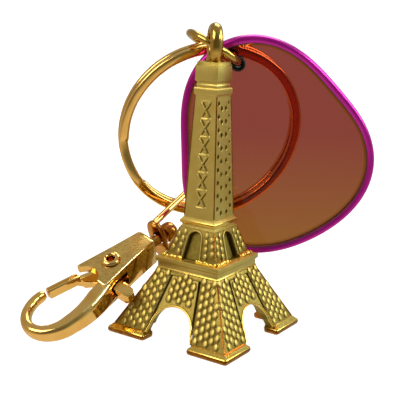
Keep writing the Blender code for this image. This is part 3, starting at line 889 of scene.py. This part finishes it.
def tower_cap():
    """The block on the shaft, with its cast eye on a small collar."""
    bm = bmesh.new()
    stack(bm, [(1.83, SHAFT_TOP - 0.03), (1.83, 38.55), (1.76, 38.62), (1.78, 38.95), (2.03, 39.12),
               (1.95, 41.35), (1.84, 41.62), (1.8, CAP_TOP)])
    cap = shaped(bm, "tower_cap_casting", TOWER)
    ease(cap, 0.05, 2, 15)
    bm = bmesh.new()
    oval = eye_frames(EYE_HOLE_HEIGHT + EYE_WALL, EYE_HOLE_DEPTH + EYE_WALL, 56)
    sweep(bm, oval, ring(EYE_WALL, 24, EYE_HALF_THICKNESS / EYE_WALL), closed=True)
    carve(cap, bm, "UNION")
    bm = bmesh.new()
    sections = []
    for radius, height in ((1.5, CAP_TOP - 0.4), (1.42, CAP_TOP), (1.25, 42.05), (1.18, 42.5), (1.1, 42.8)):
        sections.append([Vector((x, y, height)) for x, y in ring(radius, 36)])
    loft(bm, sections)
    carve(cap, bm, "UNION")
    # Painted shade: the band under the cap's top gets the darker ground finish.
    for face in cap.data.polygons:
        height = face.center.z / MM
        face.material_index = 1 if height > CAP_TOP + 0.01 else 2 if 41.3 < height < CAP_TOP - 0.02 else 0
    hand_over(cap, "tower", [SATIN, PALE_WIRE, SHADED_GROUND], ["tower_cap"], smooth=35)


# ---------------------------------------------------------------- rings

def jump_ring():
    """One turn of round wire, whose ends just miss each other."""
    flat_normal = JUMP_RIGHT.cross(Vector((0, 1, 0)))
    away = (Vector((0, cos(JUMP_SLOPE), 0)) - sin(JUMP_SLOPE) * flat_normal).normalized()
    normal = JUMP_RIGHT.cross(away).normalized()
    frames = []
    for n in range(120):
        angle = radians(112) + radians(357) * n / 119
        outward = cos(angle) * JUMP_RIGHT + sin(angle) * away
        frames.append((JUMP_CENTRE + JUMP_RADIUS * outward, outward, normal))
    bm = bmesh.new()
    sweep(bm, frames, lambda along: ring(JUMP_WIRE / 2 * (0.86 if along in (0, 1) else 1), 24))
    wire = shaped(bm, "jump_ring_wire", CHARM)
    hand_over(wire, "jump_ring", [PALE_WIRE], ["jump_ring"])


def split_axes():
    """The split ring's right, up and normal directions."""
    normal = Vector((sin(SPLIT_PAN) * cos(SPLIT_TILT), cos(SPLIT_PAN) * cos(SPLIT_TILT), sin(SPLIT_TILT)))
    right = normal.cross(UP).normalized()
    return right, right.cross(normal), normal


def split_point(angle):
    """A point on the middle line of the split ring."""
    right, up, _ = split_axes()
    return SPLIT_CENTRE + SPLIT_MIDDLE * (cos(angle) * right + sin(angle) * up)


def split_ring():
    """Two coils of one flattened strip, lightly dented by its winding and by keys."""
    right, up, normal = split_axes()
    layer = (COIL_THICKNESS + COIL_GAP) / 2
    length = 4 * pi - SPLIT_STEP - 2 * SPLIT_END_GAP
    half = (SPLIT_OUTER - SPLIT_INNER) / 2
    steps = 420
    outlines = []
    for n in range(steps + 1):
        wound = length * n / steps
        shift = min(max((wound - (2 * pi - SPLIT_STEP)) / SPLIT_STEP, 0), 1)
        height = layer * (1 - 2 * (3 * shift ** 2 - 2 * shift ** 3))
        angle = SPLIT_END_ANGLE + SPLIT_END_GAP - wound
        outward = cos(angle) * right + sin(angle) * up
        centre = SPLIT_CENTRE + SPLIT_MIDDLE * outward - height * normal
        size = 0.9 if n in (0, steps) else 1
        outline = []
        for u, v in squircle(half * size, COIL_THICKNESS / 2 * size, 20, 3.2):
            point = centre + u * outward + v * normal
            outline.append(point - 0.05 * abs(noise.noise(point * 0.55)) * (u * outward + v * normal))
        outlines.append(outline)
    bm = bmesh.new()
    loft(bm, outlines)
    coils = shaped(bm, "split_ring_coils", CHARM)
    hand_over(coils, "split_ring", [POLISHED], ["split_ring"])


# ---------------------------------------------------------------- snap hook

def snap(a, b, c=0.0):
    """A point in the snap hook's own axes."""
    return SNAP_START + a * SNAP_A + b * SNAP_B + c * SNAP_C


def snap_block(outline, depths=(-SLOT_HALF, SLOT_HALF)):
    """A block with the same (a, b) outline at two depths, as wide as the gate's slot."""
    bm = bmesh.new()
    loft(bm, [[snap(a, b, c) for a, b in outline] for c in depths])
    return bm


def swivel_loop():
    """A wire bow round the split ring, on a flat base plate with the stud's hole."""
    centre = snap(LOOP_BASE_AT, 0)
    length = (split_point(LOOP_RING_ANGLE) - centre).normalized()
    right, up, _ = split_axes()
    tangent = sin(LOOP_RING_ANGLE) * right - cos(LOOP_RING_ANGLE) * up
    square_to = (tangent - tangent.dot(length) * length).normalized()
    width = cos(LOOP_TWIST) * length.cross(square_to) + sin(LOOP_TWIST) * square_to
    normal = length.cross(width)
    frames = []
    for n in range(7):
        frames.append((centre + (LOOP_ARM * n / 6 - 0.1) * length + LOOP_HALF_WIDTH * width, width, normal))
    for n in range(1, 36):
        turn = pi * n / 36
        outward = sin(turn) * length + cos(turn) * width
        frames.append((centre + LOOP_ARM * length + LOOP_HALF_WIDTH * outward, outward, normal))
    for n in range(6, -1, -1):
        frames.append((centre + (LOOP_ARM * n / 6 - 0.1) * length - LOOP_HALF_WIDTH * width, -width, normal))
    bm = bmesh.new()
    sweep(bm, frames, ring(LOOP_WIRE / 2, 20))
    bow = shaped(bm, "swivel_bow", CHARM)
    bm = bmesh.new()
    sections = []
    for height, inset in ((-0.42, 0.2), (-0.36, 0.07), (-0.22, 0), (0.22, 0), (0.36, 0.07), (0.42, 0.2)):
        outline = squircle(LOOP_HALF_WIDTH + 0.55 - inset, 1.5 - inset, 48, 3.0)
        sections.append([centre + u * width + v * normal + height * length for u, v in outline])
    loft(bm, sections)
    carve(bow, bm, "UNION")
    drill(bow, centre - 2 * length, centre + 2 * length, BORE)
    for face in bow.data.polygons:
        height = (face.center / MM - CHARM.translation - centre).dot(length)
        face.material_index = 1 if height < 0.5 else 0
    hand_over(bow, "swivel_loop", [POLISHED, AMBER_GOLD], ["swivel_loop"])


def swivel_stud():
    """The stud's neck and its domed head, as (radius, a) along the snap hook."""
    profile = [(0.8, 2.0), (0.8, -2.95), (0.9, -3.08), (1.38, -3.16), (1.52, -3.25), (1.55, -3.45),
               (1.55, -4.25), (1.5, -4.6), (1.36, -4.95), (1.1, -5.24), (0.75, -5.42), (0.35, -5.5)]
    bm = bmesh.new()
    loft(bm, [[snap(a, u, v) for u, v in ring(radius, 40)] for radius, a in profile])
    stud = shaped(bm, "swivel_stud_head", CHARM)
    hand_over(stud, "snap_hook", [AMBER_GOLD], ["swivel_stud"])


def hook_route():
    """The hook's centre line from inside the body round to its tip, as (a, b) points."""
    start, pull, end = Vector((9.6, 1.1)), Vector((14.9, 3.6)), Vector((HOOK_BOW[0], 3.0))
    route = []
    for n in range(18):
        t = n / 17
        route.append((1 - t) ** 2 * start + 2 * t * (1 - t) * pull + t ** 2 * end)
    for n in range(37):
        t = radians(80 - 5.08 * n)
        route.append(Vector((HOOK_BOW[0] + 4.7 * cos(t), HOOK_BOW[1] + 3.95 * sin(t))))
    return route


def hook_section(along):
    """The hook changes from the body's flat section to round, and thins to its tip."""
    left = (1 - along) ** 2.5
    tip = 1 - 0.35 * max(0, (along - 0.975) / 0.025)
    return squircle((0.8 + 0.85 * left) * tip, (1.0 + 1.4 * left) * tip, 28, 2 + 2.4 * (1 - along) ** 1.5)


def snap_body():
    """The clasp's cast body and hook in one, slotted for the gate and bored for the rivet and stud."""
    sections = []
    for a, low, high, half in ((0, -1.5, 1.5, 2.1), (0.5, -1.8, 1.8, 2.5), (5, -2.5, 2.2, 2.5),
                               (11.9, -3.75, 3.1, 2.5)):
        corners = ((low, -half), (high, -half), (high, half), (low, half))
        sections.append([snap(a, b, c) for b, c in corners])
    bm = bmesh.new()
    loft(bm, sections)
    body = shaped(bm, "snap_hook_body", CHARM)
    ease(body, 0.62, 4, 30)
    route = hook_route()
    frames = []
    for n, point in enumerate(route):
        ahead = heading(route, n)
        frames.append((snap(point.x, point.y), ahead.y * SNAP_A - ahead.x * SNAP_B, SNAP_C))
    bm = bmesh.new()
    sweep(bm, frames, hook_section)
    carve(body, bm, "UNION")
    carve(body, snap_block(((4.9, -6), (14.5, -6), (14.5, 1.35), (4.9, 1.35))))
    carve(body, snap_block(((6.9, 0), (11.1, 0), (11.1, 5), (6.9, 5))))
    for start, end, radius in ((snap(12.9, -0.8, -4), snap(12.9, -0.8, 4), 2.4),
                               (snap(*PIVOT, -4), snap(*PIVOT, 4), BORE),
                               (snap(-1, 0), snap(2.3, 0), BORE)):
        drill(body, start, end, radius, 48)
    # Painted highlight: the chamfers get a near-white gold line.
    for face in body.data.polygons:
        away = abs((face.center / MM - CHARM.translation - SNAP_START).dot(SNAP_C))
        flat = abs(face.normal.dot(SNAP_C))
        chamfer = 0.3 < flat < 0.95 and away > 1.6
        face.material_index = 1 if flat > 0.97 and away > 2.3 else 2 if chamfer else 0
    hand_over(body, "snap_hook", [POLISHED, BRUSHED, EDGE_HIGHLIGHT], ["snap_body"])


def hollow_rivet():
    """A tube rivet with both ends rolled over."""
    profile = []
    for side in (1, -1):
        for step in range(13):
            angle = radians(200 - 200 * step / 12) if side == 1 else radians(200 * step / 12)
            radius = RIVET_RADIUS + RIVET_ROLL * cos(angle)
            height = RIVET_HALF + RIVET_ROLL * max(sin(angle), -0.02)
            profile.append((radius, side * height))
        if side == 1:
            profile += [(0.86, 2.62), (0.86, -2.62)]
    inner = [(0.64, -2.5), (0.64, 2.5)]
    bm = bmesh.new()
    turned(bm, snap(*PIVOT), SNAP_C, profile + inner)
    rivet = shaped(bm, "hollow_rivet_tube", CHARM)
    hand_over(rivet, "snap_hook", [POLISHED], ["hollow_rivet"])


def gate_lever():
    """The gate's flat arm, its grooved bar and its thumb nub, bored for the rivet."""
    outline = [(5.8, -0.35), (6.3, -1.75), (7.7, -2.25), (12.9, -3.95), (12.9, -2.85), (11.4, -0.6),
               (10.4, 0.6), (7.6, 1.0), (6.3, 0.8)]
    lever = shaped(snap_block(outline, (-0.95, 0.1)), "gate_lever_arm", CHARM)
    bm = bmesh.new()
    sections = []
    for a, low, high in ((12.3, -3.95, -2.75), (17.2, -5.06, -3.9), (17.45, -5.0, -3.98)):
        wide = high - low
        outline = [(low + 0.12, -0.9), (high - 0.12, -0.9), (high, -0.75), (high, 0.75), (high - 0.12, 0.9),
                   (low + 0.62 * wide, 0.9), (low + 0.56 * wide, 0.72), (low + 0.46 * wide, 0.72),
                   (low + 0.4 * wide, 0.9), (low + 0.12, 0.9), (low, 0.75), (low, -0.75)]
        sections.append([snap(a, b, c) for b, c in outline])
    loft(bm, sections)
    carve(lever, bm, "UNION")
    bm = bmesh.new()
    nub = ((0.2, 0.8, 9.3, 10.7), (2.2, 0.95, 8.5, 10.7), (5.6, 0.95, 8.6, 10.4), (6.12, 0.7, 8.9, 10.1))
    loft(bm, [[snap(a, b, c) for a, c in ((low, -half), (high, -half), (high, half), (low, half))]
              for b, half, low, high in nub])
    carve(lever, bm, "UNION")
    drill(lever, snap(*PIVOT, -4), snap(*PIVOT, 4), BORE)
    ease(lever, 0.1, 2, 30)
    hand_over(lever, "gate", [POLISHED], ["gate_lever"])


def gate_spring():
    """Two turns of wire round the rivet, inside the body."""
    frames = []
    for n in range(97):
        angle = 4 * pi * n / 96
        outward = cos(angle) * SNAP_A + sin(angle) * SNAP_B
        frames.append((snap(*PIVOT, 0.42 + 0.55 * n / 96) + SPRING_RADIUS * outward, outward, SNAP_C))
    bm = bmesh.new()
    sweep(bm, frames, ring(SPRING_WIRE_RADIUS, 12))
    spring = shaped(bm, "gate_spring_coil", CHARM)
    hand_over(spring, "snap_hook", [SPRING_WIRE], ["gate_spring"])


# ---------------------------------------------------------------- lens

def lens_layer(inset, depth, count=160):
    """The lens's outline moved in by an inset, at a depth behind its middle plane."""
    points = []
    for n in range(count):
        angle = 2 * pi * n / count
        radius = 16.5 - inset - 1.4 * cos(2 * (angle - radians(17))) + 1.24 * cos(3 * (angle + radians(4.5)))
        x, y = 5.75 + radius * cos(angle), radius * sin(angle) - 13.95
        points.append(LENS_HOLE + x * LENS_RIGHT + y * LENS_UP + depth * LENS_BACK)
    return points


def tinted_lens():
    """The dyed plate with bevelled edges. It reaches a little under the rim's lip."""
    inset = RIM_WIDTH - 0.08
    bm = bmesh.new()
    loft(bm, [lens_layer(inset + edge, depth) for edge, depth in (
        (0.42, -LENS_HALF), (0.06, -0.42), (0, -0.36), (0, 0.36), (0.06, 0.42), (0.42, LENS_HALF))])
    plate = shaped(bm, "tinted_lens_plate", CHARM)
    drill(plate, LENS_HOLE - 3 * LENS_BACK, LENS_HOLE + 3 * LENS_BACK, 1.01, 40)
    for face in plate.data.polygons:
        flat = abs(face.normal.dot(LENS_BACK)) > 0.97
        hole = (face.center / MM - CHARM.translation - LENS_HOLE).length < 1.6
        face.material_index = 0 if flat or hole else 1
    hand_over(plate, "lens", [DYED, DYED_EDGE], ["tinted_lens"], smooth=30)
    # Light reaches the rings behind through the lens too, so its plain shadow is left out.
    plate.visible_shadow = False


def lens_rim():
    """The rim has a rounded outside, a flat land and a fine lip against the lens."""
    section = []
    for step in range(9):
        angle = radians(-90 + 22.5 * step)
        section.append((0.5 - 0.5 * cos(angle), RIM_HALF * sin(angle)))
    section += [(0.95, RIM_HALF - 0.02), (1.12, 0.72), (RIM_WIDTH - 0.06, 0.7), (RIM_WIDTH, 0.62),
                (RIM_WIDTH, -0.62), (RIM_WIDTH - 0.06, -0.7), (1.12, -0.72), (0.95, 0.02 - RIM_HALF)]
    bm = bmesh.new()
    count = 180
    loft(bm, [lens_layer(inset, depth, count) for inset, depth in section], closed=True)
    rim = shaped(bm, "lens_rim_band", CHARM)
    # The faces go round the lens strip after strip, and strips 10 to 14 are the lip beside the lens, painted
    # nearly black as shadow.
    for number, face in enumerate(rim.data.polygons):
        face.material_index = 1 if 10 <= number // count <= 14 else 0
    hand_over(rim, "lens", [LACQUER, LIP_SHADOW], ["lens_rim"], smooth=50)


def lens_eyelet():
    """A rubber eyelet, narrowest in the middle of the lens, where the jump ring goes through."""
    profile = []
    for side in (1, -1):
        waist = [(0.61, 0.0), (0.63, 0.2), (0.7, 0.4), (0.84, 0.65)]
        lip = [(1.04 + 0.12 * cos(radians(angle)), 0.72 + 0.18 * sin(radians(angle)))
               for angle in (170, 140, 110, 80, 50, 20, -20, -60)]
        half = waist + lip + [(0.99, 0.5)]
        profile += [(r, h) for r, h in half] if side == 1 else [(r, -h) for r, h in reversed(half[1:])]
    bm = bmesh.new()
    turned(bm, LENS_HOLE, LENS_BACK, profile)
    eyelet = shaped(bm, "lens_eyelet_grommet", CHARM)
    hand_over(eyelet, "lens", [RUBBER], ["lens_eyelet"], smooth=60)


# ---------------------------------------------------------------- studio

def paper(name, code, glow):
    """White paper or cloth, lit from behind enough to stay white."""
    material, _, shader = finish(name, Roughness=0.9)
    shader.inputs["Base Color"].default_value = linear(code)
    shader.inputs["Emission Color"].default_value = (1, 1, 1, 1)
    shader.inputs["Emission Strength"].default_value = glow
    return material


def backdrop(name, bm, material, **seen):
    """A part of the studio, hidden from the kinds of ray that seen turns off."""
    mesh = bpy.data.meshes.new(name)
    bm.to_mesh(mesh)
    bm.free()
    mesh.materials.append(material)
    made = bpy.data.objects.new(name, mesh)
    bpy.context.collection.objects.link(made)
    for key, value in seen.items():
        setattr(made, "visible_" + key, value)


def studio():
    bm = bmesh.new()
    edge = [2 * pi * n / 64 for n in range(64)]
    bm.faces.new([bm.verts.new((3 * cos(angle), 3 * sin(angle), -0.00002)) for angle in edge])
    backdrop("floor", bm, paper("white_paper", "#9A9A9A", 0.96), glossy=False, transmission=False)
    bm = bmesh.new()
    bmesh.ops.create_uvsphere(bm, u_segments=48, v_segments=24, radius=2.9)
    backdrop("white_tent", bm, paper("white_tent_cloth", "#FFFFFF", 1.0), glossy=False, diffuse=False,
             shadow=False, transmission=False)
    bpy.context.scene.world = soft_room()
    for name, place, size, power, colour in (
            ("softbox_left", (-0.45, -0.30, 0.45), 0.4, 2.6, (1.0, 0.95, 0.86)),
            ("softbox_right", (0.5, 0.05, 0.3), 0.3, 1.6, (0.94, 1.0, 0.97)),
            ("softbox_front", (0.42, -0.24, 0.32), 0.13, 0.7, (1.0, 0.97, 0.9)),
            ("softbox_top", (0.1, 0.4, 0.6), 0.4, 2.0, (1.0, 1.0, 1.0))):
        light = bpy.data.lights.new(name, "AREA")
        light.shape = "SQUARE"
        light.size = size
        light.energy = power
        light.color = colour
        lamp = bpy.data.objects.new(name, light)
        lamp.location = place
        lamp.rotation_euler = (Vector((0, 0, 0.025)) - Vector(place)).to_track_quat("-Z", "Y").to_euler()
        bpy.context.collection.objects.link(lamp)


def soft_room():
    """The room that the gloss and the lens see: warm on the left and below, cool on the right."""
    world = bpy.data.worlds.new("studio")
    world.use_nodes = True
    tree = world.node_tree
    place = node(tree, "ShaderNodeTexCoord")
    parts = node(tree, "ShaderNodeSeparateXYZ", {"Vector": (place, "Generated")})
    ramps = []
    for axis, start, end, least in (("X", -0.7, 0.7, 0), ("Z", -0.05, 0.5, 0), ("Z", -0.72, -0.25, 0),
                                    ("Y", -0.9, -0.2, 0.35)):
        ramps.append(node(tree, "ShaderNodeMapRange", {"Value": (parts, axis)},
                          {"From Min": start, "From Max": end, "To Min": least},
                          interpolation_type="SMOOTHSTEP"))
    side, height, table, front = ramps
    sky = node(tree, "ShaderNodeMix", {"Factor": (height, "Result")}, data_type="RGBA")
    for key, left, right in (("A", (0.52, 0.44, 0.32, 1), (0.46, 0.52, 0.45, 1)),
                             ("B", (0.44, 0.42, 0.38, 1), (0.50, 0.57, 0.57, 1))):
        level = node(tree, "ShaderNodeMix", {"Factor": (side, "Result")}, {"A": left, "B": right},
                     data_type="RGBA")
        tree.links.new(colour_of(level), sky.inputs[key])
    room = node(tree, "ShaderNodeVectorMath", {1: (front, "Result")}, operation="MULTIPLY")
    tree.links.new(colour_of(sky), room.inputs[0])
    whole = node(tree, "ShaderNodeMix", {"Factor": (table, "Result"), "B": (room, "Vector")},
                 {"A": (0.85, 0.78, 0.66, 1)}, data_type="RGBA")
    tree.links.new(colour_of(whole), tree.nodes["Background"].inputs["Color"])
    return world


def camera():
    """A long lens a little above the charm, turned slightly about its own axis."""
    rise = Vector((0, 0.225, 0.9744))
    ahead = Vector((0, 0.9744, -0.225))
    roll = radians(1.9)
    x_axis = cos(roll) * Vector((1, 0, 0)) + sin(roll) * rise
    y_axis = cos(roll) * rise - sin(roll) * Vector((1, 0, 0))
    lens = bpy.data.cameras.new("camera")
    lens.lens = 77.4
    lens.sensor_width = 36
    lens.clip_start = 0.01
    lens.clip_end = 20
    view = bpy.data.objects.new("camera", lens)
    place = CHARM.translation + Vector((-1.44, -129.0, 50.52))
    turn = Matrix((x_axis, y_axis, -ahead)).transposed().to_4x4()
    view.matrix_world = Matrix.Translation(place * MM) @ turn
    bpy.context.collection.objects.link(view)
    bpy.context.scene.camera = view
    bpy.context.scene.view_settings.view_transform = "Standard"


studio()
camera()
tower_legs()
tower_feet()
for index, side_name in enumerate(("front", "right", "back", "left")):
    arch_plate(side_name, index)
arch_beads()
leg_scales()
corner_lines()
lower_deck()
middle_stage()
stage_trim()
stage_beading()
upper_deck()
tower_shaft()
tower_cap()
jump_ring()
split_ring()
swivel_loop()
swivel_stud()
snap_body()
hollow_rivet()
gate_lever()
gate_spring()
tinted_lens()
lens_rim()
lens_eyelet()
